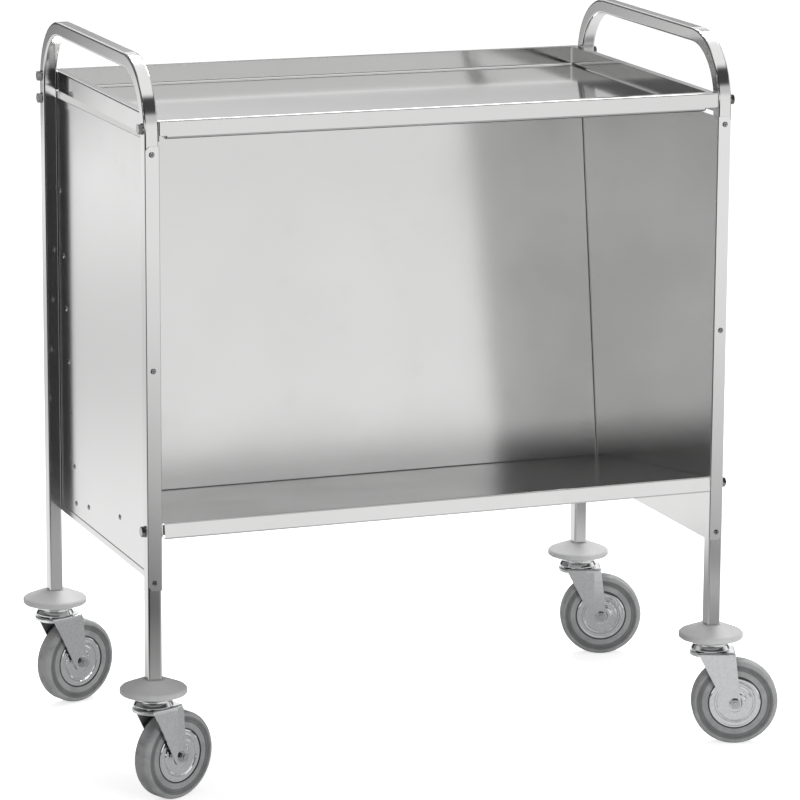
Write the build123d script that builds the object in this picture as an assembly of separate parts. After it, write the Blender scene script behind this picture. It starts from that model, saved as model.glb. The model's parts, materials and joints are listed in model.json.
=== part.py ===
from build123d import *
import os
from math import asin, atan2, cos, hypot, radians, sin, sqrt, tan

# Plate trolley, in millimetres.
# Frame: +Z up, -Y is the open front, origin on the floor under the middle of the legs.

os.makedirs("parts", exist_ok=True)

# Tube frames
FRAME_WIDTH = 860.0        # outside to outside of the legs, along X
FRAME_DEPTH = 516.0        # outside to outside of the legs, along Y
HANDLE_RISE = 80.0         # top of the handles, above the tray's rim
TUBE = 20.0                # side of the square tube
TUBE_WALL = 1.2
TUBE_CORNER = 3.0          # outer corner radius of the tube's section
HANDLE_BEND = 98.0         # outer radius of the two bends of a frame
LEG_FOOT_Z = 158.0         # lower end of the legs

# Sheet metal
SHEET = 1.0
SHEET_BEND = 1.6           # radius of a fold, at the middle of the sheet
SIDE_BEND = 2.1            # the same for the upright folds of the back
CLOSE_BEND = 0.8           # the same where back and shelf meet
FIT = 0.1                  # gap between faces that are bolted or riveted together
CORNER_TRIM = 1.5          # how far a flange stops short of its neighbour

# Side panels
PANEL_TOP_DROP_FRONT = 34.0     # top edge below the tray's rim, at the front
PANEL_TOP_DROP_REAR = 39.6      # the same at the rear
PANEL_FOOT_DROP_FRONT = 33.7    # bottom edge below the corner of back and shelf, at the front
PANEL_FOOT_DROP_REAR = 38.7     # the same at the rear
PANEL_HEM = 9.0            # width of the folded hem along the top and bottom edges
FLANGE_MARGIN = 1.5        # bare strip of the leg beside the flange
FLANGE_CHAMFER = 5.0
FLANGE_RIVET_INSET = 11.0  # end rivets of a flange, from its ends

# Leaning back and sloping shelf
BACK_SETBACK = 95.0        # from the rear legs' middle plane forward to the corner of back and shelf
CORNER_Z = 338.7           # height of that corner
BACK_BOLT_DROP = 40.0      # bolts that hold the back to the rear legs, below the tray's rim
BACK_BOLT_INSET = 10.2     # those bolts, behind the back's front face
BACK_TOP_MARGIN = 9.0      # sheet above those bolts
BACK_FLANGE = 19.0         # depth of the back's side flanges
BACK_TOP_FLANGE = 12.0     # depth of the back's top and bottom flanges
SHELF_FLANGE = 19.0        # depth of the shelf's side and rear flanges
SHELF_LIP = 22.0           # height of the shelf's front lip
LIP_PROUD = 2.5            # the lip stands this far in front of the legs
LIP_RETURN = 8.0           # return under the lip
SHELF_BOLT_DROP = 11.0     # shelf bolts, below the shelf's face

# Top tray
RIM_Z = 952.0              # top of the tray's rim
RIM = 12.0                 # width of the rim
PAN_DEPTH = 27.6           # rim to the underside of the pan
SIDE_SKIRT = 28.0          # height of the skirt along the frames
END_SKIRT = 20.4           # height of the skirt at the front and rear
PAN_RADIUS = 4.0           # fold between the pan's walls and floor
TRAY_BOLT_DROP_FRONT = 11.4     # tray bolts, below the rim
TRAY_BOLT_DROP_REAR = 8.0

# Fasteners
BOLT = 8.0                 # M8
BOLT_CLEARANCE = 0.2       # on the radius of a bolt's hole
THREAD_CLEARANCE = 0.03    # on the radius, between a bolt and its nut
BOLT_HEAD_FLATS = 13.0
BOLT_HEAD = 5.3
WASHER_R = 8.0
WASHER = 1.0
NUT = 6.5
BOLT_END = 2.0             # thread showing beyond a nut
RIVET = 4.0                # shank of a blind rivet
RIVET_HEAD = 8.0
RIVET_CLEARANCE = 0.05
RIVET_BORE = 0.65          # radius of the hole in a set rivet, in shank radii
RIVET_DOME = 0.35          # height of a rivet's head, in shanks
RIVET_CROWN = 0.6          # radius of the flat on a rivet's head, in head radii
RIVET_TAIL = 1.25          # radius of a set rivet's tail, in shank radii
RIVET_TAIL_LENGTH = 0.7    # length of that tail, in shanks
RIVET_INSET = 9.6          # sheet rivets, from the face of the back or the shelf
BACK_RIVET_FIRST = 44.1    # lowest rivet of the back, from the corner
BACK_RIVET_LAST = 238.7    # last of the evenly spaced rivets of the back, from its top
BACK_RIVET_COUNT = 5
BACK_RIVET_TOP = 144.0     # one more rivet of the back, from its top
SHELF_RIVET_FIRST = 55.2   # rear rivet of the shelf, from the corner
SHELF_RIVET_LAST = 45.8    # front rivet of the shelf, from its front edge
SHELF_RIVET_COUNT = 3

# Castors
CASTOR_TRAIL = 36.0        # swivel axis to axle
WHEEL_R = 62.5
WHEEL_HALF_WIDTH = 14.5
TREAD_SHOULDER = 7.3
TYRE_INNER_R = 31.0
TYRE_RECESS_R = 38.4       # the tyre's side starts here, round the wheel discs
TYRE_RING_R = 47.5         # outer edge of the sunken ring in the tyre's side
TYRE_RING = 0.9            # depth of that ring
TYRE_GROOVE_R = 52.0       # fine groove outside it
TYRE_GROOVE = 0.6          # depth and half width of that groove
DISC_SHEET = 1.2
DISC_R = 37.2
DISC_EDGE = 13.4           # outer face of a wheel disc at its edge, from the wheel's middle plane
DISC_RIM = 14.2            # the same on its rim
DISC_RIM_INNER_R = 30.2
DISC_RIM_OUTER_R = 35.6
DISC_GROOVE = 11.8         # the same in the groove inside the rim
DISC_GROOVE_INNER_R = 27.0
DISC_GROOVE_OUTER_R = 28.6
DISC_CONE_OUTER = 13.8     # the cone inside that groove, at its outer and inner edges
DISC_CONE_OUTER_R = 25.5
DISC_CONE_INNER = 14.6
DISC_CONE_INNER_R = 16.0
DISC_COLLAR = 15.8         # the collar round the hub
DISC_COLLAR_R = 14.0
HUB_R = 10.9
HUB_HALF_LENGTH = 16.0
HUB_RUNNING = 0.05         # running clearance of the hub on the sleeve, on the radius
SLEEVE_R = 6.0
SLEEVE_SLACK = 0.05        # at each end of the sleeve
AXLE_R = 4.0
AXLE_CLEARANCE = 0.05
AXLE_FLATS = 13.0
AXLE_HEAD = 5.3
AXLE_NUT = 4.8
AXLE_END = 1.6
FORK_SHEET = 2.0
FORK_HALF_WIDTH = 20.4     # middle facet of a fork leg at the height of the axle, outside
FORK_SPLAY = 2.3           # the legs spread towards the crown by this angle, degrees
FORK_LAND = 19.3           # flat land at the axle, outside
LAND_R = 8.5
LAND_SLOPE = 2.0           # width of the slope round the land
LAND_RISE = 2.5            # height of that slope
CREASE_FRONT = 12.0        # the two creases of a fork leg, from the swivel axis at the crown
CREASE_REAR = 24.3
FACET_FRONT_ANGLE = 3.0    # the front and rear facets turn inward by these angles, degrees
FACET_REAR_ANGLE = 5.5
CREASE_LEAN = 0.8          # lean of the creases, degrees
FORK_FRONT = 18.2          # front edge of a fork leg under the crown, ahead of the swivel axis
FORK_TOE = 26.0            # its front lower corner, behind that axis
FORK_HEEL = 46.5           # its rear lower corner
FORK_FOOT_Z = 51.0         # lower end of the fork legs
FORK_TOE_ROUND = 12.0
FORK_HEEL_ROUND = 10.0
FORK_WAIST = 41.5          # bend in the rear edge
FORK_WAIST_Z = 84.0
FORK_WAIST_ROUND = 100.0
CROWN_Z = 139.0            # top of the fork's crown
CROWN_R = 29.5
CROWN_ROUND = 3.0
CROWN_LIP = 6.0            # turned-down edge of the crown
CROWN_REAR = 35.5          # rear edge of the crown
CROWN_REAR_ROUND = 4.0
KING_PIN_R = 5.0
KING_PIN_CLEARANCE = 0.05
KING_HEAD_R = 9.0
KING_HEAD = 3.0
AXIAL_GAP = 0.3            # between pieces that turn past each other
BALL_R = 3.0
BALL_CIRCLE_R = 18.0
BALL_COUNT = 8
BALL_CLEARANCE = 0.05
RACE_R = 27.9              # flared skirt of the fixed race
RACE_SKIRT_GAP = 2.4       # dark slot between the race's skirt and the crown
RACE_EDGE = 1.2            # upright edge of that skirt
RACE_BOSS_R = 24.5
RACE_FLARE_Z = 149.5       # the flare starts here
RACE_FLARE_ROUND = 8.0
RACE_SHEET = 2.5
STEM_R = 6.0
STEM_LENGTH = 42.0
PLUG_LENGTH = 46.0
PLUG_FIT = 0.15

# Bumpers
BUMPER_R = 46.5
BUMPER_BASE_Z = 158.4
BUMPER_RIM = 8.0
BUMPER_TOP_Z = 178.0
BUMPER_TOP_R = 16.5
BUMPER_ROUND = 2.0
BUMPER_WALL = 4.0
BUMPER_FIT = 0.3           # gap round the leg

# Outer face of a wheel disc and of one side of the tyre, as (radius, distance from the middle)
DISC_FACE_POINTS = [(HUB_R + FIT, DISC_COLLAR), (DISC_COLLAR_R, DISC_COLLAR)]
DISC_FACE_POINTS += [(DISC_CONE_INNER_R, DISC_CONE_INNER), (DISC_CONE_OUTER_R, DISC_CONE_OUTER)]
DISC_FACE_POINTS += [(DISC_GROOVE_INNER_R, DISC_GROOVE), (DISC_GROOVE_OUTER_R, DISC_GROOVE)]
DISC_FACE_POINTS += [(DISC_RIM_INNER_R, DISC_RIM), (DISC_RIM_OUTER_R, DISC_RIM), (DISC_R, DISC_EDGE)]
TYRE_SIDE_POINTS = [(r, WHEEL_HALF_WIDTH - TYRE_RING) for r in (TYRE_RECESS_R, TYRE_RING_R)]
TYRE_SIDE_POINTS += [(TYRE_RING_R + TYRE_GROOVE, WHEEL_HALF_WIDTH)]
TYRE_SIDE_POINTS += [(TYRE_GROOVE_R - TYRE_GROOVE, WHEEL_HALF_WIDTH)]
TYRE_SIDE_POINTS += [(TYRE_GROOVE_R, WHEEL_HALF_WIDTH - TYRE_GROOVE)]
TYRE_SIDE_POINTS += [(TYRE_GROOVE_R + TYRE_GROOVE, WHEEL_HALF_WIDTH)]

# Side of the trolley along X and Y, and the way each castor trails, in degrees from +X
CASTORS = {
    "front_left": (-1, -1, 24.7),
    "rear_left": (-1, 1, 21.1),
    "front_right": (1, -1, -20.1),
    "rear_right": (1, 1, -18.5),
}

# Places worked out from the sizes above
half_width = FRAME_WIDTH / 2
half_depth = FRAME_DEPTH / 2
leg_x = half_width - TUBE / 2
leg_y = half_depth - TUBE / 2
inner_x = half_width - TUBE                    # inner faces of the legs
panel_outer_x = inner_x - FIT
panel_inner_x = panel_outer_x - SHEET
flange_x = panel_inner_x - FIT                 # outer faces of the flanges of back and shelf

handle_z = RIM_Z + HANDLE_RISE
panel_top_front = RIM_Z - PANEL_TOP_DROP_FRONT
panel_top_rear = RIM_Z - PANEL_TOP_DROP_REAR
panel_foot_front = CORNER_Z - PANEL_FOOT_DROP_FRONT
panel_foot_rear = CORNER_Z - PANEL_FOOT_DROP_REAR

corner_y = leg_y - BACK_SETBACK
back_bolt_z = RIM_Z - BACK_BOLT_DROP
back_rise = back_bolt_z - CORNER_Z
back_reach = hypot(BACK_SETBACK, back_rise)
lean = atan2(BACK_SETBACK, back_rise) - asin(BACK_BOLT_INSET / back_reach)
back_bolt_along = sqrt(back_reach ** 2 - BACK_BOLT_INSET ** 2)
back_length = back_bolt_along + BACK_TOP_MARGIN
shelf_bolt_along = (corner_y + leg_y - SHELF_BOLT_DROP * sin(lean)) / cos(lean)
shelf_reach = (corner_y + half_depth + LIP_PROUD) / cos(lean)
lean_plane = Plane(origin=(0, corner_y, CORNER_Z), x_dir=(1, 0, 0), z_dir=(0, sin(lean), cos(lean)))

pan_x = inner_x - FIT - RIM
pan_y = half_depth - RIM
pan_base_z = RIM_Z - PAN_DEPTH

axle_z = WHEEL_R
fork_top_y = FORK_HALF_WIDTH + (CROWN_Z - axle_z) * tan(radians(FORK_SPLAY))


def lean_point(behind, along):
    """Height and depth of a point behind the back's face and along it from the corner."""
    y = corner_y + behind * cos(lean) + along * sin(lean)
    z = CORNER_Z - behind * sin(lean) + along * cos(lean)
    return y, z


def spread(first, last, count):
    """Evenly spaced places from the first to the last."""
    return [first + (last - first) * i / (count - 1) for i in range(count)]


tray_bolt_points = [(-leg_y, RIM_Z - TRAY_BOLT_DROP_FRONT), (leg_y, RIM_Z - TRAY_BOLT_DROP_REAR)]
back_bolt_points = [(leg_y, back_bolt_z)]
shelf_bolt_points = [lean_point(-shelf_bolt_along, -SHELF_BOLT_DROP)]
back_rivet_along = spread(BACK_RIVET_FIRST, back_length - BACK_RIVET_LAST, BACK_RIVET_COUNT)
back_rivet_along.append(back_length - BACK_RIVET_TOP)
back_rivet_points = [lean_point(RIVET_INSET, along) for along in back_rivet_along]
shelf_rivet_along = [-RIVET_INSET]
shelf_rivet_along += spread(SHELF_RIVET_FIRST, shelf_reach - SHELF_RIVET_LAST, SHELF_RIVET_COUNT)
shelf_rivet_points = [lean_point(-along, -RIVET_INSET) for along in shelf_rivet_along]


def panel_edge(front_z, rear_z, y):
    """Height of a side panel's sloping edge at a depth y."""
    return front_z + (rear_z - front_z) * (y + half_depth) / FRAME_DEPTH


def flange_rivet_heights(y):
    """Heights of the three rivets of the flange at a depth y."""
    low = panel_edge(panel_foot_front, panel_foot_rear, y) + FLANGE_RIVET_INSET
    high = panel_edge(panel_top_front, panel_top_rear, y) - FLANGE_RIVET_INSET
    return [low, (low + high) / 2, high]


def side_holes(points, radius):
    """Holes along X through a leg and the sheets beside it, at (y, z) points, on both sides."""
    reach = TUBE + RIM / 2
    bore = Rot(0, 90, 0) * Cylinder(radius, 2 * reach)
    return [Pos(side * half_width, y, z) * bore for side in (-1, 1) for y, z in points]


def flange_holes(x, radius):
    """Holes along Y for the flange rivets, from outside into the hollow of each leg."""
    bore = Rot(90, 0, 0) * Cylinder(radius, TUBE)
    places = [(side * half_depth, z) for side in (-1, 1) for z in flange_rivet_heights(side * half_depth)]
    return [Pos(x, y, z) * bore for y, z in places]


def folded(points, height, bend=SHEET_BEND):
    """Sheet folded along a line of points in XY and standing to a height in Z."""
    path = FilletPolyline(*points, radius=bend)
    return extrude(trace(path, line_width=SHEET), amount=height, dir=(0, 0, 1))


def slab(x0, x1, y0, y1, z0, z1):
    """Box between two corners."""
    middle = Pos((x0 + x1) / 2, (y0 + y1) / 2, (z0 + z1) / 2)
    return middle * Box(x1 - x0, y1 - y0, z1 - z0)


def side_prism(points, x0, x1):
    """Prism along X of an outline given as (y, z) points."""
    outline = Plane.YZ * Polygon(*points, align=None)
    return Pos(x0, 0, 0) * extrude(outline, amount=x1 - x0, dir=(1, 0, 0))


def both_sides(shapes):
    """Shapes on the left and their mirror images on the right."""
    return list(shapes) + [mirror(shape, about=Plane.YZ) for shape in shapes]


def upright_turned(points):
    """Solid of revolution about the Z axis of an outline given as (radius, z) points."""
    return revolve(Plane.XZ * Polygon(*points, align=None), axis=Axis.Z)


def axle_turned(points):
    """Solid of revolution about the castor's axle of an outline given as (radius, y) points."""
    return Pos(CASTOR_TRAIL, 0, axle_z) * revolve(Polygon(*points, align=None), axis=Axis.Y)


def hexagon(flats, height):
    """Hexagonal prism along Z with its outer corners turned off."""
    prism = extrude(RegularPolygon(flats / 2, 6, major_radius=False), amount=height)
    corner = flats / sqrt(3)
    turned_off = corner - flats / 2
    outline = [(0, 0), (corner, 0), (corner, height - turned_off / 2), (flats / 2, height), (0, height)]
    return prism & upright_turned(outline)


def u_frame(side):
    """Two legs and a handle, bent from one length of square tube."""
    x = side * leg_x
    points = [(x, -leg_y, LEG_FOOT_Z), (x, -leg_y, handle_z - TUBE / 2)]
    points += [(x, leg_y, handle_z - TUBE / 2), (x, leg_y, LEG_FOOT_Z)]
    path = FilletPolyline(*points, radius=HANDLE_BEND - TUBE / 2)
    bore_side = TUBE - 2 * TUBE_WALL
    section = RectangleRounded(TUBE, TUBE, TUBE_CORNER)
    section -= RectangleRounded(bore_side, bore_side, TUBE_CORNER - TUBE_WALL)
    frame = sweep(Pos(*points[0]) * section, path=path)
    bolts = tray_bolt_points + back_bolt_points + shelf_bolt_points
    frame -= side_holes(bolts, BOLT / 2 + BOLT_CLEARANCE)
    frame -= flange_holes(x, RIVET / 2 + RIVET_CLEARANCE)
    return frame


def left_side_panel():
    """Left side sheet: flanges over the legs, hems between them, holes for its fasteners."""
    flange_y = half_depth + FIT + SHEET / 2
    web_x = -(panel_outer_x - SHEET / 2)
    edge_x = -(half_width - FLANGE_MARGIN)
    base_z = min(panel_foot_front, panel_foot_rear) - SHEET
    top_z = max(panel_top_front, panel_top_rear) + SHEET
    line = [(edge_x, -flange_y), (web_x, -flange_y), (web_x, flange_y), (edge_x, flange_y)]
    sheet = Pos(0, 0, base_z) * folded(line, top_z - base_z)
    y_out = flange_y + SHEET
    bottom = [(y, panel_edge(panel_foot_front, panel_foot_rear, y)) for y in (-y_out, y_out)]
    top = [(y, panel_edge(panel_top_front, panel_top_rear, y)) for y in (y_out, -y_out)]
    sheet &= side_prism(bottom + top, -half_width, -panel_inner_x + SHEET)
    chamfer_side = FLANGE_CHAMFER * sqrt(2)
    for y, z in bottom + top:
        sheet -= Pos(edge_x, y, z) * Rot(0, 45, 0) * Box(chamfer_side, TUBE, chamfer_side)
    y_hem = half_depth - TUBE - CORNER_TRIM
    for front_z, rear_z, turn in ((panel_foot_front, panel_foot_rear, 1),
                                  (panel_top_front, panel_top_rear, -1)):
        edge = [(y, panel_edge(front_z, rear_z, y)) for y in (-y_hem, y_hem)]
        inner = [(y, z + turn * PANEL_HEM) for y, z in reversed(edge)]
        sheet += side_prism(edge + inner, -panel_outer_x - SHEET, -panel_outer_x)
    sheet -= flange_holes(-leg_x, RIVET / 2 + RIVET_CLEARANCE)
    sheet -= side_holes(back_bolt_points + shelf_bolt_points, BOLT / 2 + BOLT_CLEARANCE)
    rivets = back_rivet_points + shelf_rivet_points
    sheet -= side_holes(rivets, RIVET / 2 + RIVET_CLEARANCE)
    return sheet


def back_panel():
    """Leaning back: flanges at both sides, the top and the foot, all turned to the rear."""
    side_x = flange_x - SHEET / 2
    line = [(-side_x, BACK_FLANGE), (-side_x, SHEET / 2), (side_x, SHEET / 2), (side_x, BACK_FLANGE)]
    sheet = Pos(0, 0, FIT) * folded(line, back_length - FIT, SIDE_BEND)
    cap_x = flange_x - SHEET - CORNER_TRIM
    cap_line = [(BACK_TOP_FLANGE, FIT + SHEET / 2), (SHEET / 2, FIT + SHEET / 2)]
    cap_line += [(SHEET / 2, back_length - SHEET / 2), (BACK_TOP_FLANGE, back_length - SHEET / 2)]
    caps = Pos(-cap_x, 0, 0) * (Plane.YZ * folded(cap_line, 2 * cap_x, CLOSE_BEND))
    sheet = trimmed_back(sheet) + caps
    sheet = lean_plane * sheet
    sheet -= side_holes(back_bolt_points, BOLT / 2 + BOLT_CLEARANCE)
    return sheet - side_holes(back_rivet_points, RIVET / 2 + RIVET_CLEARANCE)


def trimmed_back(sheet):
    """The back's web and side flanges, relieved where the folds of top and foot begin."""
    web_x = flange_x - SHEET - CORNER_TRIM
    for z in (FIT, back_length):
        sheet -= slab(-web_x, web_x, -SHEET, 2 * SHEET, z - 2 * SHEET_BEND, z + 2 * SHEET_BEND)
    return sheet


def plate_shelf():
    """Sloping shelf: side flanges and a rear flange turned down, and a front lip."""
    side_x = flange_x - SHEET / 2
    middle_z = -SHEET / 2
    rear_y = BACK_FLANGE - SHEET / 2
    front_y = -shelf_reach + SHEET / 2
    cap_x = flange_x - SHEET - CORNER_TRIM
    line = [(-side_x, -SHELF_FLANGE), (-side_x, middle_z), (side_x, middle_z), (side_x, -SHELF_FLANGE)]
    flange_front = front_y + LIP_PROUD + CORNER_TRIM
    sides = Plane.XZ * folded(line, rear_y - CORNER_TRIM - flange_front)
    sides = Pos(0, rear_y - CORNER_TRIM, 0) * sides
    run = [(rear_y, -SHELF_FLANGE), (rear_y, middle_z), (front_y, middle_z)]
    run += [(front_y, -SHELF_LIP), (front_y + LIP_RETURN, -SHELF_LIP)]
    middle = Pos(-cap_x, 0, 0) * (Plane.YZ * folded(run, 2 * cap_x))
    shelf = lean_plane * (sides + middle)
    shelf -= side_holes(shelf_bolt_points, BOLT / 2 + BOLT_CLEARANCE)
    return shelf - side_holes(shelf_rivet_points, RIVET / 2 + RIVET_CLEARANCE)


def top_tray():
    """Tray with a flat rim, a skirt all round and a sunken pan with folded corners."""
    x = inner_x - FIT
    skirt = slab(-x, x, -half_depth, half_depth, RIM_Z - SIDE_SKIRT, RIM_Z)
    folds = skirt.edges().filter_by(Axis.Z) + skirt.edges().group_by(Axis.Z)[-1]
    skirt = fillet(folds, SHEET_BEND + SHEET / 2)
    inner_y = half_depth - SHEET
    skirt -= slab(-x + SHEET, x - SHEET, -inner_y, inner_y, RIM_Z - PAN_DEPTH - TUBE, RIM_Z - SHEET)
    end_z = RIM_Z - END_SKIRT
    skirt -= slab(-x + SHEET, x - SHEET, -half_depth - SHEET, half_depth + SHEET, pan_base_z - TUBE, end_z)
    pan = slab(-pan_x, pan_x, -pan_y, pan_y, pan_base_z, RIM_Z)
    pan = fillet(pan.edges().filter_by(Axis.Z) + pan.edges().group_by(Axis.Z)[0], PAN_RADIUS)
    well = slab(-pan_x + SHEET, pan_x - SHEET, -pan_y + SHEET, pan_y - SHEET, pan_base_z + SHEET, RIM_Z)
    well = fillet(well.edges().filter_by(Axis.Z) + well.edges().group_by(Axis.Z)[0], PAN_RADIUS - SHEET)
    tray = skirt + pan - well
    return tray - side_holes(tray_bolt_points, BOLT / 2 + BOLT_CLEARANCE)


def bolt_places():
    """(y, z, grip) of every bolt through a left leg: leg and sheets between washer and nut."""
    one_sheet = TUBE + FIT + SHEET
    two_sheets = one_sheet + FIT + SHEET
    places = [(y, z, one_sheet) for y, z in tray_bolt_points]
    return places + [(y, z, two_sheets) for y, z in back_bolt_points + shelf_bolt_points]


def frame_bolts():
    """Hexagon bolts with their heads and washers outside the legs."""
    head = Rot(0, -90, 0) * Rot(0, 0, 30) * hexagon(BOLT_HEAD_FLATS, BOLT_HEAD)
    bolts = []
    for y, z, grip in bolt_places():
        length = WASHER + grip + NUT + BOLT_END
        shank = Rot(0, 90, 0) * Pos(0, 0, length / 2) * Cylinder(BOLT / 2, length)
        bolts.append(Pos(-half_width - WASHER, y, z) * (head + shank))
    return Compound(children=both_sides(bolts))


def frame_washers():
    """Flat washers under the heads of those bolts."""
    washer = Cylinder(WASHER_R, WASHER) - Cylinder(BOLT / 2 + BOLT_CLEARANCE, 3 * WASHER)
    washer = Pos(-half_width - WASHER / 2, 0, 0) * Rot(0, 90, 0) * washer
    return Compound(children=both_sides([Pos(0, y, z) * washer for y, z, _ in bolt_places()]))


def frame_nuts():
    """Hexagon nuts on the bolts, inside the sheets."""
    nut = hexagon(BOLT_HEAD_FLATS, NUT) - Cylinder(BOLT / 2 + THREAD_CLEARANCE, 3 * NUT)
    nut = Rot(0, 90, 0) * Rot(0, 0, 30) * nut
    nuts = [Pos(-half_width + grip, y, z) * nut for y, z, grip in bolt_places()]
    return Compound(children=both_sides(nuts))


def blind_rivet(grip):
    """Blind rivet along Z: domed head below z = 0 with its open centre, bulged tail beyond."""
    shank_r = RIVET / 2
    head_r = RIVET_HEAD / 2
    bore_r = shank_r * RIVET_BORE
    dome = RIVET * RIVET_DOME
    tail_r = shank_r * RIVET_TAIL
    end = grip + RIVET * RIVET_TAIL_LENGTH
    outline = [(0, grip), (bore_r, grip), (bore_r, -dome)]
    outline += [(head_r * RIVET_CROWN, -dome), (head_r, -dome / 4), (head_r, 0), (shank_r, 0)]
    outline += [(shank_r, grip), (tail_r, grip), (tail_r, end), (0, end)]
    return upright_turned(outline)


def flange_rivets():
    """Blind rivets through the panels' flanges into the legs."""
    rivet = blind_rivet(SHEET + FIT + TUBE_WALL)
    rivets = []
    for side in (-1, 1):
        for z in flange_rivet_heights(side * half_depth):
            face_y = side * (half_depth + FIT + SHEET)
            rivets.append(Pos(-leg_x, face_y, z) * Rot(side * 90, 0, 0) * rivet)
    return Compound(children=both_sides(rivets))


def sheet_rivets(points):
    """Blind rivets from outside through the panels into the flanges inside."""
    rivet = Rot(0, 90, 0) * blind_rivet(2 * SHEET + FIT)
    return Compound(children=both_sides([Pos(-panel_outer_x, y, z) * rivet for y, z in points]))


def bumper():
    """Round bumper with a conical top, pushed over the foot of a leg."""
    r = BUMPER_R
    base = BUMPER_BASE_Z
    shoulder = base + BUMPER_RIM
    outline = [(0, BUMPER_TOP_Z), (BUMPER_TOP_R, BUMPER_TOP_Z), (r - BUMPER_ROUND, shoulder)]
    outline += [(r, shoulder - BUMPER_ROUND), (r, base + BUMPER_ROUND / 2), (r - BUMPER_ROUND / 2, base)]
    inner_r = r - BUMPER_WALL
    outline += [(inner_r, base), (inner_r, shoulder - BUMPER_WALL)]
    outline += [(BUMPER_TOP_R + BUMPER_ROUND, BUMPER_TOP_Z - BUMPER_WALL - BUMPER_ROUND)]
    outline += [(BUMPER_TOP_R + BUMPER_ROUND, base + BUMPER_ROUND), (0, base + BUMPER_ROUND)]
    hole_side = TUBE + 2 * BUMPER_FIT
    hole = extrude(RectangleRounded(hole_side, hole_side, TUBE_CORNER + BUMPER_FIT), amount=BUMPER_TOP_Z)
    return upright_turned(outline) - Pos(0, 0, BUMPER_BASE_Z / 2) * hole


def socket_plug():
    """Square plug in the foot of a leg, bored for the castor's stem."""
    side = TUBE - 2 * TUBE_WALL - 2 * PLUG_FIT
    plug = extrude(RectangleRounded(side, side, TUBE_CORNER - TUBE_WALL), amount=PLUG_LENGTH)
    plug -= Cylinder(STEM_R + PLUG_FIT, 3 * PLUG_LENGTH)
    return Pos(0, 0, LEG_FOOT_Z) * plug


race_ceiling_z = CROWN_Z + 2 * (BALL_R + BALL_CLEARANCE)


def castor_head():
    """Fixed half of a swivel: stem, boss, flared race and the king pin with its riveted head."""
    skirt_z = CROWN_Z + RACE_SKIRT_GAP
    king_z = CROWN_Z - FORK_SHEET - AXIAL_GAP
    outline = [(0, king_z - KING_HEAD), (KING_HEAD_R, king_z - KING_HEAD), (KING_HEAD_R, king_z)]
    outline += [(KING_PIN_R, king_z), (KING_PIN_R, race_ceiling_z)]
    outline += [(RACE_R - RACE_SHEET, race_ceiling_z), (RACE_R - RACE_SHEET, skirt_z)]
    outline += [(RACE_R, skirt_z), (RACE_R, skirt_z + RACE_EDGE), (RACE_BOSS_R, RACE_FLARE_Z)]
    outline += [(RACE_BOSS_R, LEG_FOOT_Z), (STEM_R, LEG_FOOT_Z), (STEM_R, LEG_FOOT_Z + STEM_LENGTH)]
    outline += [(0, LEG_FOOT_Z + STEM_LENGTH)]
    half = Polygon(*outline, align=None)
    flare = half.vertices().sort_by_distance((RACE_BOSS_R, RACE_FLARE_Z))[0]
    return revolve(Plane.XZ * fillet(flare, RACE_FLARE_ROUND), axis=Axis.Z)


def balls():
    """Balls of the swivel bearing."""
    z = CROWN_Z + BALL_R + BALL_CLEARANCE
    places = PolarLocations(BALL_CIRCLE_R, BALL_COUNT)
    return Compound(children=[Pos(0, 0, z) * place * Sphere(BALL_R) for place in places])


def fork_section(inset):
    """Half of the fork seen from above at the crown, within its creased faces moved in by an inset."""
    front = -CROWN_R - TUBE
    rear = FORK_HEEL + TUBE
    face_y = fork_top_y - inset
    front_y = face_y - (CREASE_FRONT - front) * tan(radians(FACET_FRONT_ANGLE))
    rear_y = face_y - (rear - CREASE_REAR) * tan(radians(FACET_REAR_ANGLE))
    outline = [(front, 0), (rear, 0), (rear, rear_y), (CREASE_REAR, face_y)]
    outline += [(CREASE_FRONT, face_y), (front, front_y)]
    return Polygon(*outline, align=None)


def land_turned(inset, out):
    """Solid about the axle from the middle plane to the land, whose edge slopes out (1) or in (-1)."""
    land_y = FORK_LAND - inset
    outline = [(0, 0), (LAND_R + LAND_SLOPE, 0), (LAND_R + LAND_SLOPE, land_y + out * LAND_RISE)]
    return axle_turned(outline + [(LAND_R, land_y), (0, land_y)])


def fork_block(inset):
    """Everything between the middle plane and a leg's outer face moved in by an inset."""
    down = Vector(tan(radians(CREASE_LEAN)), -tan(radians(FORK_SPLAY)), -1).normalized()
    reach = CROWN_Z - FORK_FOOT_Z + TUBE
    block = extrude(Pos(0, 0, CROWN_Z) * fork_section(inset), amount=reach, dir=down)
    outside = axle_turned([(0, 0), (LAND_R + LAND_SLOPE, 0), (LAND_R + LAND_SLOPE, 2 * fork_top_y),
                           (0, 2 * fork_top_y)])
    block -= outside - land_turned(inset, 1)
    return block + land_turned(inset, -1)


def fork_profile():
    """Side outline of the fork's legs, as a prism across the castor."""
    top_z = CROWN_Z - CROWN_ROUND
    corners = [(-FORK_FRONT, top_z), (FORK_TOE, FORK_FOOT_Z), (FORK_HEEL, FORK_FOOT_Z)]
    corners += [(FORK_WAIST, FORK_WAIST_Z), (CROWN_REAR, CROWN_Z - CROWN_LIP)]
    corners += [(CROWN_REAR - CROWN_REAR_ROUND, top_z)]
    outline = Polygon(*corners, align=None)
    for corner, radius in zip(corners[1:4], (FORK_TOE_ROUND, FORK_HEEL_ROUND, FORK_WAIST_ROUND)):
        outline = fillet(outline.vertices().sort_by_distance(corner)[0], radius)
    return extrude(Plane.XZ * outline, amount=2 * fork_top_y, both=True)


def fork_leg():
    """One leg of the fork: creased sheet with the land round the axle's hole."""
    return (fork_block(0) - fork_block(FORK_SHEET)) & fork_profile()


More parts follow.
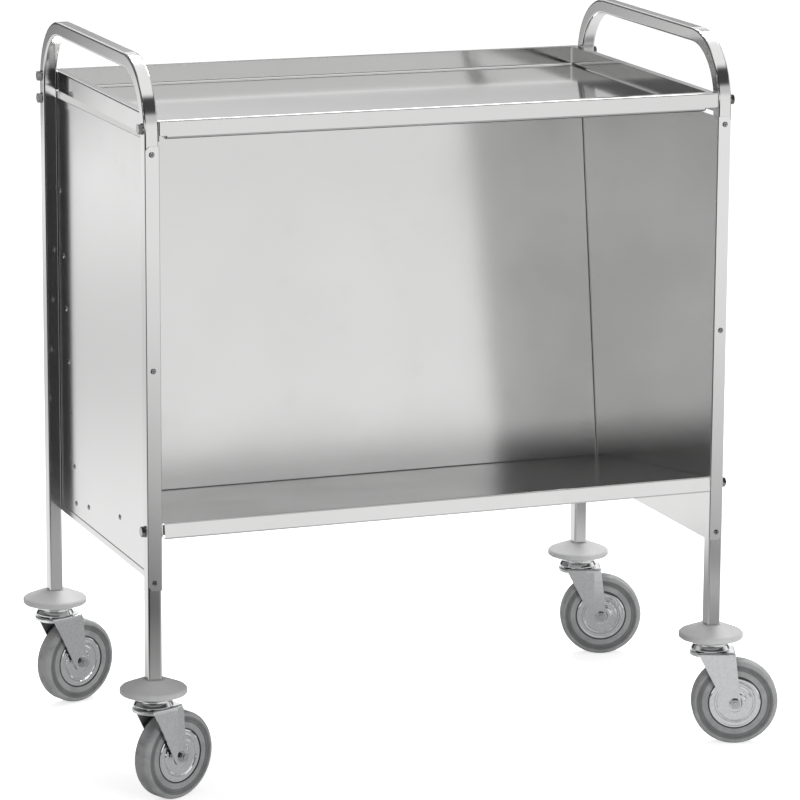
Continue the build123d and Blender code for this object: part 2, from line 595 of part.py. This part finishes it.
def crown_block(inset):
    """Everything under the crown, whose outer surface is moved in by an inset."""
    section = fork_section(inset)
    section += mirror(section, about=Plane.XZ)
    rear = CROWN_REAR - inset
    plan = section & (Circle(CROWN_R - inset) + Pos(rear / 2, 0) * Rectangle(rear, 2 * CROWN_R))
    plan = fillet(plan.vertices().group_by(Axis.X)[-1], CROWN_REAR_ROUND - inset)
    block = Pos(0, 0, CROWN_Z - CROWN_LIP) * extrude(plan, amount=CROWN_LIP - inset)
    return fillet(block.edges().group_by(Axis.Z)[-1], CROWN_ROUND - inset)


def fork():
    """Pressed fork of one sheet: crown and two legs, bored for the king pin and the axle."""
    leg = fork_leg()
    pressed = crown_block(0) + leg + mirror(leg, about=Plane.XZ) - crown_block(FORK_SHEET)
    rear_y = FORK_HALF_WIDTH - FORK_SHEET
    rear_z = CROWN_Z - CROWN_ROUND
    pressed -= slab(CREASE_FRONT, 2 * CROWN_REAR, -rear_y, rear_y, rear_z - CROWN_LIP, rear_z)
    pressed -= Pos(0, 0, CROWN_Z) * Cylinder(KING_PIN_R + KING_PIN_CLEARANCE, CROWN_LIP)
    bore = Rot(90, 0, 0) * Cylinder(AXLE_R + AXLE_CLEARANCE, 4 * FORK_HALF_WIDTH)
    return pressed - Pos(CASTOR_TRAIL, 0, axle_z) * bore


def tyre():
    """Solid tyre with a recessed ring in each side."""
    web_y = DISC_EDGE - DISC_SHEET - FIT
    half = [(TYRE_INNER_R, web_y), (TYRE_RECESS_R, web_y)] + TYRE_SIDE_POINTS
    half.append((WHEEL_R, WHEEL_HALF_WIDTH))
    outline = Polygon(*half, *[(r, -y) for r, y in reversed(half)], align=None)
    outline = fillet(outline.vertices().group_by(Axis.X)[-1], TREAD_SHOULDER)
    return Pos(CASTOR_TRAIL, 0, axle_z) * revolve(outline, axis=Axis.Y)


def wheel_discs():
    """Pair of pressed steel discs."""
    back = [(r, y - DISC_SHEET) for r, y in reversed(DISC_FACE_POINTS)]
    disc = axle_turned(DISC_FACE_POINTS + back)
    return Compound(children=[disc, mirror(disc, about=Plane.XZ)])


def axle_tube(inner_r, outer_r, half_length):
    """Tube round the axle."""
    half = [(inner_r, half_length), (outer_r, half_length)]
    return axle_turned(half + [(r, -y) for r, y in reversed(half)])


def hub():
    """Hub that turns on the sleeve."""
    return axle_tube(SLEEVE_R + HUB_RUNNING, HUB_R, HUB_HALF_LENGTH)


def axle_sleeve():
    """Distance tube between the fork's legs."""
    half_length = FORK_LAND - FORK_SHEET - SLEEVE_SLACK
    return axle_tube(AXLE_R + AXLE_CLEARANCE, SLEEVE_R, half_length)


def axle_bolt():
    """Hexagon bolt through fork and sleeve."""
    head = Pos(0, FORK_LAND, 0) * Rot(-90, 0, 0) * hexagon(AXLE_FLATS, AXLE_HEAD)
    end = FORK_LAND + AXLE_NUT + AXLE_END
    shank = Pos(0, (FORK_LAND - end) / 2, 0) * Rot(90, 0, 0) * Cylinder(AXLE_R, FORK_LAND + end)
    return Pos(CASTOR_TRAIL, 0, axle_z) * (head + shank)


def axle_nut():
    """Nut on the axle bolt."""
    nut = hexagon(AXLE_FLATS, AXLE_NUT) - Cylinder(AXLE_R + THREAD_CLEARANCE, 3 * AXLE_NUT)
    return Pos(CASTOR_TRAIL, -FORK_LAND, axle_z) * Rot(90, 0, 0) * nut


export_step(u_frame(-1), "parts/left_frame.step")
export_step(u_frame(1), "parts/right_frame.step")
panel = left_side_panel()
export_step(panel, "parts/left_side_panel.step")
export_step(mirror(panel, about=Plane.YZ), "parts/right_side_panel.step")
export_step(back_panel(), "parts/back_panel.step")
export_step(plate_shelf(), "parts/plate_shelf.step")
export_step(top_tray(), "parts/top_tray.step")
export_step(frame_bolts(), "parts/frame_bolts.step")
export_step(frame_washers(), "parts/frame_washers.step")
export_step(frame_nuts(), "parts/frame_nuts.step")
export_step(flange_rivets(), "parts/flange_rivets.step")
export_step(sheet_rivets(back_rivet_points), "parts/back_rivets.step")
export_step(sheet_rivets(shelf_rivet_points), "parts/shelf_rivets.step")

fixed_at_leg = {"bumper": bumper(), "socket_plug": socket_plug(), "castor_head": castor_head()}
turned_with_castor = {
    "fork": fork(),
    "balls": balls(),
    "axle_sleeve": axle_sleeve(),
    "axle_bolt": axle_bolt(),
    "axle_nut": axle_nut(),
    "hub": hub(),
    "wheel_discs": wheel_discs(),
    "tyre": tyre(),
}
for corner, (side_x, side_y, trail) in CASTORS.items():
    leg = Pos(side_x * leg_x, side_y * leg_y, 0)
    for part, shape in fixed_at_leg.items():
        export_step(leg * shape, f"parts/{corner}_{part}.step")
    for part, shape in turned_with_castor.items():
        export_step(leg * Rot(0, 0, trail) * shape, f"parts/{corner}_{part}.step")
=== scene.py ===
import json
from math import cos, sin

import bpy
from mathutils import Matrix, Vector

# Plate trolley, in metres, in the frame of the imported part: +Z up, -Y the open front.

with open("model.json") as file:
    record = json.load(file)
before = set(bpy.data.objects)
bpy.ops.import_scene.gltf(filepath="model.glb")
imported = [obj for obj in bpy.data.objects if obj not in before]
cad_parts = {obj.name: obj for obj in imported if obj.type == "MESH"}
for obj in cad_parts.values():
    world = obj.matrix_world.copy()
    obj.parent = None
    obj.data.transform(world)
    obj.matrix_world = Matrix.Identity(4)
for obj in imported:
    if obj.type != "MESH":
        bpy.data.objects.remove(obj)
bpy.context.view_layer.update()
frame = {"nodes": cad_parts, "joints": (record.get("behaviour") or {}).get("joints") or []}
nodes = frame["nodes"]

CORNERS = ("front_left", "rear_left", "front_right", "rear_right")

# Camera, matched to the photograph
FOCAL_PX = 4188.4
IMAGE_PX = 800
SENSOR = 36.0
CENTRE_PX = (460.0, 380.0)      # where the lens axis meets the image
AZIMUTH = -0.371217             # radians, negative to the left of the front
ELEVATION = 0.216314
ROLL = 0.008284
DISTANCE = 6.055618
TARGET = Vector((0, 0, 0.5))
TARGET_SHIFT = (0.116201, 0.015442)     # to the camera's right and up
CLIP_END = 100

# Floor. Reflections see it glow, dimmed in bands and by painted shade near and under the trolley: points of
# distance from the trolley's middle and share taken off.
FLOOR_HALF = 60.0
FLOOR_PAINT = 0.80
FLOOR_GLOW = 0.64               # makes the floor white to the camera
DIM_UNDER = ((0.36, 0.58), (0.56, 0.0))         # painted shade under the trolley
DIM_RIGHT = ((0.86, 0.34), (0.98, 0.68), (1.15, 0.68), (1.30, 0.43), (1.36, 0.43), (1.46, 0.76),
             (1.50, 0.76), (1.70, 0.52), (2.20, 0.36), (3.90, 0.06))
DIM_LEFT = ((0.75, 0.55), (1.10, 0.74), (1.12, 0.74), (1.22, 0.97))
DIM_REAR = ((0.50, 0.61), (0.95, 0.06), (1.40, 0.06), (2.80, 0.29), (3.10, 0.29), (5.20, 0.0),
            (6.80, 0.0), (7.60, 0.48))
FRONT_EDGE = ((-0.55, 1.0), (0.10, 0.0))        # share of the front, by y over distance
LEFT_EDGE = ((-0.18, 1.0), (0.12, 0.0))         # share of the left in the front, by x over distance
FLAG_EDGE = ((-0.345, 0.0), (-0.30, 1.0))       # dark area far behind: by x over distance
FLAG_DIM = ((5.2, 0.0), (6.4, 0.98))            # and by distance

# World, as reflections see it: points of the direction's height and brightness
WALL_FRONT = ((0.106, 0.93), (0.118, 0.81), (0.13, 0.81), (0.21, 0.66), (0.31, 0.66), (0.42, 0.06),
              (0.70, 0.06), (0.80, 1.0))
WALL_REAR = ((0.138, 0.15), (0.158, 1.0), (0.25, 1.0), (0.60, 0.46), (0.70, 0.46), (0.80, 1.0))
REAR_LEFT = ((-0.20, 0.20), (0.0, 1.0))         # the rear wall dims to the left, by the direction's x
AHEAD = ((-0.35, 1.0), (0.15, 0.0))             # share of the front wall, by the direction's y
WORLD_DIFFUSE = 0.52                            # what lights the object besides the lamps

# Dark room behind the camera: by the direction's part toward the camera, and by its height
ROOM_EDGE = ((0.80, 0.0), (0.90, 1.0))
ROOM_DIM = ((0.116, 0.10), (0.183, 0.94))

# Noise: most of its values lie between these
NOISE_LOW = 0.3
NOISE_HIGH = 0.7

# Tyres: radii from the axle
TYRE_GAP_SHADE_END = 0.0393              # painted shade in the gap round the wheel's disc ends here
TYRE_RING = 0.0475              # the sunken ring in the wall starts here
TYRE_RING_END = 0.0557
TREAD_START = 0.0590
TREAD_FULL = 0.0622

# Wheel discs: radians of their shallow rings per metre of radius
DISC_RINGS = 900.0


def add_camera():
    """Camera whose image plane is shifted as the photograph's is."""
    back = Vector((sin(AZIMUTH) * cos(ELEVATION), -cos(AZIMUTH) * cos(ELEVATION), sin(ELEVATION)))
    level = (-back).cross(Vector((0, 0, 1))).normalized()
    upright = level.cross(-back)
    right = cos(ROLL) * level + sin(ROLL) * upright
    up = cos(ROLL) * upright - sin(ROLL) * level
    place = TARGET + back * DISTANCE + right * TARGET_SHIFT[0] + up * TARGET_SHIFT[1]
    data = bpy.data.cameras.new("camera")
    data.sensor_width = SENSOR
    data.lens = FOCAL_PX / IMAGE_PX * SENSOR
    data.shift_x = (IMAGE_PX / 2 - CENTRE_PX[0]) / IMAGE_PX
    data.shift_y = (CENTRE_PX[1] - IMAGE_PX / 2) / IMAGE_PX
    data.clip_end = CLIP_END
    camera = bpy.data.objects.new("camera", data)
    camera.matrix_world = Matrix.Translation(place) @ Matrix((right, up, back)).transposed().to_4x4()
    bpy.context.scene.collection.objects.link(camera)
    bpy.context.scene.camera = camera


class Nodes:
    """Short calls for building a node tree."""

    def __init__(self, tree):
        self.tree = tree
        tree.nodes.clear()

    def add(self, kind, inputs=None, **settings):
        """A node with its settings, and with its inputs set or linked."""
        node = self.tree.nodes.new(kind)
        for name, value in settings.items():
            setattr(node, name, value)
        for key, value in (inputs or {}).items():
            if isinstance(value, bpy.types.NodeSocket):
                self.tree.links.new(value, node.inputs[key])
            else:
                node.inputs[key].default_value = value
        return node

    def math(self, operation, *values, clamp=False):
        inputs = dict(enumerate(values))
        return self.add("ShaderNodeMath", inputs, operation=operation, use_clamp=clamp).outputs[0]

    def vector(self, operation, output, *values):
        inputs = dict(enumerate(values))
        return self.add("ShaderNodeVectorMath", inputs, operation=operation).outputs[output]

    def span(self, value, low, high, out_low=0.0, out_high=1.0):
        """Smooth step of a value from one range to another."""
        inputs = {"Value": value, "From Min": low, "From Max": high, "To Min": out_low, "To Max": out_high}
        return self.add("ShaderNodeMapRange", inputs, interpolation_type="SMOOTHSTEP").outputs[0]

    def curve(self, value, points):
        """Smooth steps through points of value and level, flat beyond the ends."""
        level = points[0][1]
        for (low, start), (high, end) in zip(points, points[1:]):
            if end != start:
                level = self.math("ADD", level, self.span(value, low, high, 0.0, end - start))
        return level

    def edge(self, value, place, blur=0.0005):
        """Soft edge: 0 below a place and 1 above it."""
        return self.span(value, place - blur, place + blur)

    def vary(self, noise, middle, spread):
        """Number that follows a noise by a spread to either side."""
        return self.span(noise, NOISE_LOW, NOISE_HIGH, middle - spread, middle + spread)

    def mix(self, factor, low, high):
        """Number between two numbers."""
        inputs = {"Factor": factor, "A": low, "B": high}
        return self.add("ShaderNodeMix", inputs, data_type="FLOAT").outputs[0]

    def tint(self, factor, low, high):
        """Colour between two colours, each given as a tuple or a socket."""
        low, high = (c if isinstance(c, bpy.types.NodeSocket) else (*c, 1) for c in (low, high))
        inputs = {"Factor": factor, "A": low, "B": high}
        return self.add("ShaderNodeMix", inputs, data_type="RGBA").outputs["Result"]

    def place(self):
        """Place of a point on the object, in its own frame."""
        return self.add("ShaderNodeTexCoord").outputs["Object"]

    def noise(self, cells, detail, roughness=0.6):
        """Noise with so many cells per metre along each axis."""
        spots = self.add("ShaderNodeMapping", {"Vector": self.place(), "Scale": cells}).outputs[0]
        inputs = {"Vector": spots, "Scale": 1.0, "Detail": detail, "Roughness": roughness}
        return self.add("ShaderNodeTexNoise", inputs).outputs["Fac"]

    def bump(self, height, depth, under=None):
        """Relief of a depth in metres, laid over another relief."""
        inputs = {"Height": height, "Distance": depth}
        if under is not None:
            inputs["Normal"] = under
        return self.add("ShaderNodeBump", inputs).outputs[0]

    def radius(self, centre, axis):
        """Distance of a point from an axis."""
        offset = self.vector("SUBTRACT", 0, self.place(), centre)
        along = self.vector("DOT_PRODUCT", "Value", offset, axis)
        reach = self.vector("LENGTH", "Value", offset)
        return self.math("SQRT", self.math("SUBTRACT", self.math("MULTIPLY", reach, reach),
                                           self.math("MULTIPLY", along, along)))

    def principled(self, inputs):
        """The material's surface, as one principled shader."""
        shader = self.add("ShaderNodeBsdfPrincipled", inputs).outputs[0]
        self.add("ShaderNodeOutputMaterial", {"Surface": shader})


def new_material(name):
    """A material with an empty node tree."""
    made = bpy.data.materials.new(name)
    made.use_nodes = True
    return made, Nodes(made.node_tree)


def drawn_out(axis, along, across):
    """Cells per metre of a noise that is drawn out along one axis."""
    return tuple(along if name == axis else across for name in "XYZ")


def brushed_steel(name, grain, tangent=None, roughness=0.17, colour=0.82):
    """Satin stainless steel: grain lines drawn out along one axis, faint cloudiness and handling marks."""
    tone = 0.02                     # lighter and darker than the colour
    warmth = 0.004                  # taken off the blue
    made, n = new_material(name)
    lines = n.noise(drawn_out(grain, along=7.0, across=1100.0), detail=1.0)
    bands = n.noise(drawn_out(grain, along=1.6, across=260.0), detail=2.0)
    cloud = n.noise((6.0, 6.0, 6.0), detail=1.0)
    marks = n.noise((30.0, 22.0, 26.0), detail=2.0)
    brushing = n.math("ADD", n.math("MULTIPLY", lines, 0.5), n.math("MULTIPLY", bands, 0.5))
    dark = (colour - tone, colour - tone, colour - tone - warmth)
    light = (colour + tone, colour + tone, colour + tone - warmth)
    rough = n.math("ADD", n.vary(cloud, roughness, 0.012), n.math("MULTIPLY", brushing, 0.03))
    rough = n.math("ADD", rough, n.span(marks, 0.55, 0.8, 0.0, 0.02))
    inputs = {"Base Color": n.tint(brushing, dark, light), "Metallic": 1.0, "Roughness": rough}
    inputs["Normal"] = n.bump(lines, depth=0.0000012)
    if tangent:
        inputs["Anisotropic"] = 0.55
        inputs["Tangent"] = n.add("ShaderNodeCombineXYZ", dict(enumerate(tangent))).outputs[0]
    n.principled(inputs)
    return made


def bright_zinc(name, colour=(0.84, 0.85, 0.86), roughness=0.07, spin=None):
    """Bright plated steel: slight waviness from the press, mottled plating and fine speckles.

    With a spin joint, shallow rings are added round its axis, as on a pressed wheel disc."""
    made, n = new_material(name)
    wave = n.noise((55.0, 55.0, 55.0), detail=1.0)
    mottle = n.noise((210.0, 210.0, 210.0), detail=2.0)
    speckle = n.noise((700.0, 700.0, 700.0), detail=1.0)
    rough = n.math("ADD", n.vary(speckle, roughness, 0.02), n.span(mottle, 0.45, 0.75, 0.0, 0.03))
    dim = tuple(0.94 * c for c in colour)
    tone = n.tint(n.span(mottle, 0.35, 0.65, 1.0, 0.0), dim, colour)
    relief = n.bump(wave, depth=0.00009)
    if spin:
        turns = n.math("MULTIPLY", n.radius(spin["pos_m"], spin["axis"]), DISC_RINGS)
        relief = n.bump(n.math("SINE", turns), depth=0.00016, under=relief)
    relief = n.bump(mottle, depth=0.0000025, under=relief)
    n.principled({"Base Color": tone, "Metallic": 1.0, "Roughness": rough, "Normal": relief})
    return made


def moulded(name, colour, roughness):
    """Plastic with a fine moulded grain and slight clouds."""
    spread = 0.08                   # share by which the clouds are lighter and darker
    made, n = new_material(name)
    fine = n.noise((1500.0, 1500.0, 1500.0), detail=3.0)
    cloud = n.noise((60.0, 60.0, 60.0), detail=4.0)
    dark = tuple(c * (1 - spread) for c in colour)
    light = tuple(c * (1 + spread) for c in colour)
    rough = n.vary(fine, roughness, 0.05)
    relief = n.bump(fine, depth=0.00003)
    n.principled({"Base Color": n.tint(cloud, dark, light), "Roughness": rough, "Normal": relief})
    return made


def tyre_rubber(name, spin):
    """Grey rubber: pale bead, darker sunken ring, painted shade in the gap round the disc, and a worn,
    dusty tread.
    """
    made, n = new_material(name)
    radius = n.radius(spin["pos_m"], spin["axis"])
    fine = n.noise((1400.0, 1400.0, 1400.0), detail=3.0)
    cloud = n.noise((45.0, 45.0, 45.0), detail=5.0, roughness=0.65)
    ring = n.math("SUBTRACT", n.edge(radius, TYRE_RING, blur=0.0006), n.edge(radius, TYRE_RING_END))
    # painted shade: the rubber goes near black in the gap round the disc
    gap_shade = n.math("SUBTRACT", 1.0, n.edge(radius, TYRE_GAP_SHADE_END))
    tread = n.span(radius, TREAD_START, TREAD_FULL)
    # darkening of the sunken ring, and the painted shade of the gap
    shade = n.math("ADD", n.math("MULTIPLY", ring, 0.62), n.math("MULTIPLY", gap_shade, 1.2), clamp=True)
    tone = n.tint(n.span(cloud, NOISE_LOW, NOISE_HIGH), (0.255, 0.260, 0.265), (0.345, 0.350, 0.352))
    tone = n.tint(n.math("MULTIPLY", shade, 0.86), tone, (0.020, 0.020, 0.021))
    dust = n.math("MULTIPLY", tread, n.span(cloud, 0.38, 0.58, 0.0, 0.55))
    tone = n.tint(dust, tone, (0.42, 0.415, 0.405))
    rough = n.math("ADD", n.vary(fine, 0.44, 0.06), n.math("MULTIPLY", tread, 0.12))
    n.principled({"Base Color": tone, "Roughness": rough, "Normal": n.bump(fine, depth=0.00003)})
    return made


def dress(made, *names):
    """Gives CAD nodes their material."""
    for name in names:
        mesh = nodes[name].data
        mesh.materials.clear()
        mesh.materials.append(made)


def add_area(name, place, target, width, height, power):
    """Soft rectangular lamp that points at a target."""
    data = bpy.data.lights.new(name, "AREA")
    data.shape = "RECTANGLE"
    data.size = width
    data.size_y = height
    data.energy = power
    lamp = bpy.data.objects.new(name, data)
    lamp.location = place
    lamp.rotation_euler = (Vector(target) - Vector(place)).to_track_quat("-Z", "Y").to_euler()
    bpy.context.scene.collection.objects.link(lamp)
    return lamp


def add_floor():
    """Pale floor that keeps the shadow. Reflections see it pale and dark in bands, as in the photograph."""
    mesh = bpy.data.meshes.new("floor")
    corners = [(x * FLOOR_HALF, y * FLOOR_HALF, 0) for x, y in ((-1, -1), (1, -1), (1, 1), (-1, 1))]
    mesh.from_pydata(corners, [], [(0, 1, 2, 3)])
    floor = bpy.data.objects.new("floor", mesh)
    bpy.context.scene.collection.objects.link(floor)
    made, n = new_material("floor_paint")
    path = n.add("ShaderNodeLightPath").outputs
    glossy = path["Is Glossy Ray"]
    place = n.place()
    axes = n.add("ShaderNodeSeparateXYZ", {0: place}).outputs
    reach = n.vector("LENGTH", "Value", place)
    sideways = n.math("DIVIDE", axes[0], reach)
    front = n.curve(n.math("DIVIDE", axes[1], reach), FRONT_EDGE)
    left = n.curve(sideways, LEFT_EDGE)
    flag = n.math("MULTIPLY", n.curve(sideways, FLAG_EDGE), n.curve(reach, FLAG_DIM))
    # painted shade: the floor's glow, as reflections see it, is dimmed near and under the trolley and in
    # bands
    rear_dim = n.math("MAXIMUM", n.curve(reach, DIM_REAR), flag)
    front_dim = n.mix(left, n.curve(reach, DIM_RIGHT), n.curve(reach, DIM_LEFT))
    dim = n.math("MAXIMUM", n.mix(front, rear_dim, front_dim), n.curve(reach, DIM_UNDER))
    paint = n.mix(glossy, FLOOR_PAINT, 0.0)
    shade = n.add("ShaderNodeCombineColor", {0: paint, 1: paint, 2: paint}).outputs[0]
    diffuse = n.add("ShaderNodeBsdfDiffuse", {"Color": shade})
    shown = n.math("ADD", path["Is Camera Ray"], path["Is Transmission Ray"], clamp=True)
    mirrored = n.math("MULTIPLY", glossy, n.math("SUBTRACT", 1.0, dim))
    strength = n.math("ADD", n.math("MULTIPLY", shown, FLOOR_GLOW), mirrored)
    glow = n.add("ShaderNodeEmission", {"Color": (1, 1, 1, 1), "Strength": strength})
    both = n.add("ShaderNodeAddShader", {0: diffuse.outputs[0], 1: glow.outputs[0]})
    n.add("ShaderNodeOutputMaterial", {"Surface": both.outputs[0]})
    mesh.materials.append(made)


def add_world():
    """White to the camera. Reflections see walls in bands, and a dark room behind the camera."""
    world = bpy.data.worlds.new("studio")
    world.use_nodes = True
    bpy.context.scene.world = world
    n = Nodes(world.node_tree)
    path = n.add("ShaderNodeLightPath").outputs
    direction = n.add("ShaderNodeTexCoord").outputs["Generated"]
    axes = n.add("ShaderNodeSeparateXYZ", {0: direction}).outputs
    up = axes[2]
    rear = n.math("MULTIPLY", n.curve(up, WALL_REAR), n.curve(axes[0], REAR_LEFT))
    wall = n.mix(n.curve(axes[1], AHEAD), rear, n.curve(up, WALL_FRONT))
    toward = n.vector("DOT_PRODUCT", "Value", direction, (sin(AZIMUTH), -cos(AZIMUTH), 0))
    room = n.math("MULTIPLY", n.curve(toward, ROOM_EDGE), n.curve(up, ROOM_DIM))
    glossy = n.math("MULTIPLY", wall, n.math("SUBTRACT", 1.0, room))
    level = n.mix(path["Is Glossy Ray"], WORLD_DIFFUSE, glossy)
    level = n.mix(path["Is Camera Ray"], level, 1.0)
    glow = n.add("ShaderNodeBackground", {"Color": (1, 1, 1, 1), "Strength": level})
    n.add("ShaderNodeOutputWorld", {"Surface": glow.outputs[0]})


add_camera()
add_world()
add_floor()
add_area("key", place=(1.2, 1.9, 3.4), target=(0.2, 0, 0.5), width=3.2, height=1.2, power=120)
fill = add_area("fill", place=(1.2, -3.6, 0.7), target=(0, 0, 0.3), width=1.4, height=1.0, power=55)
fill.visible_glossy = False

# Tangents run across the grain along the sheets' main faces. Those of the tray and the sides lean
# a little, which gives the faces of their folds a direction too.
dress(brushed_steel("tube_steel", "Z", roughness=0.12, colour=0.77), "left_frame", "right_frame")
dress(brushed_steel("back_steel", "X", tangent=(0, 0.146, 0.989)), "back_panel")
dress(brushed_steel("shelf_steel", "X", tangent=(0, 0.989, -0.146)), "plate_shelf")
dress(brushed_steel("tray_steel", "X", tangent=(0, 1, 0.2), roughness=0.07, colour=0.73), "top_tray")
dress(brushed_steel("side_steel", "Y", tangent=(0.1, 0, 1)), "left_side_panel", "right_side_panel")
dress(bright_zinc("fastener_steel", (0.40, 0.40, 0.395), 0.10),
      "frame_bolts", "frame_washers", "frame_nuts", "flange_rivets", "back_rivets", "shelf_rivets")

zinc = bright_zinc("zinc")
axle_zinc = bright_zinc("axle_zinc", (0.62, 0.63, 0.64), 0.25)
ball_steel = bright_zinc("ball_steel", (0.5, 0.5, 0.5), 0.2)
hub_plastic = moulded("hub_plastic", (0.25, 0.26, 0.27), 0.4)
bumper_plastic = moulded("bumper_plastic", (0.52, 0.525, 0.52), 0.5)
plug_plastic = moulded("plug_plastic", (0.03, 0.03, 0.03), 0.45)
for corner in CORNERS:
    spin = next(joint for joint in frame["joints"] if joint["name"] == corner + "_spin")
    dress(zinc, corner + "_castor_head", corner + "_fork")
    dress(axle_zinc, corner + "_axle_bolt", corner + "_axle_nut")
    dress(ball_steel, corner + "_balls", corner + "_axle_sleeve")
    dress(tyre_rubber(corner + "_rubber", spin), corner + "_tyre")
    dress(bright_zinc(corner + "_disc_zinc", spin=spin), corner + "_wheel_discs")
    dress(hub_plastic, corner + "_hub")
    dress(bumper_plastic, corner + "_bumper")
    dress(plug_plastic, corner + "_socket_plug")

bpy.context.scene.view_settings.view_transform = "Standard"
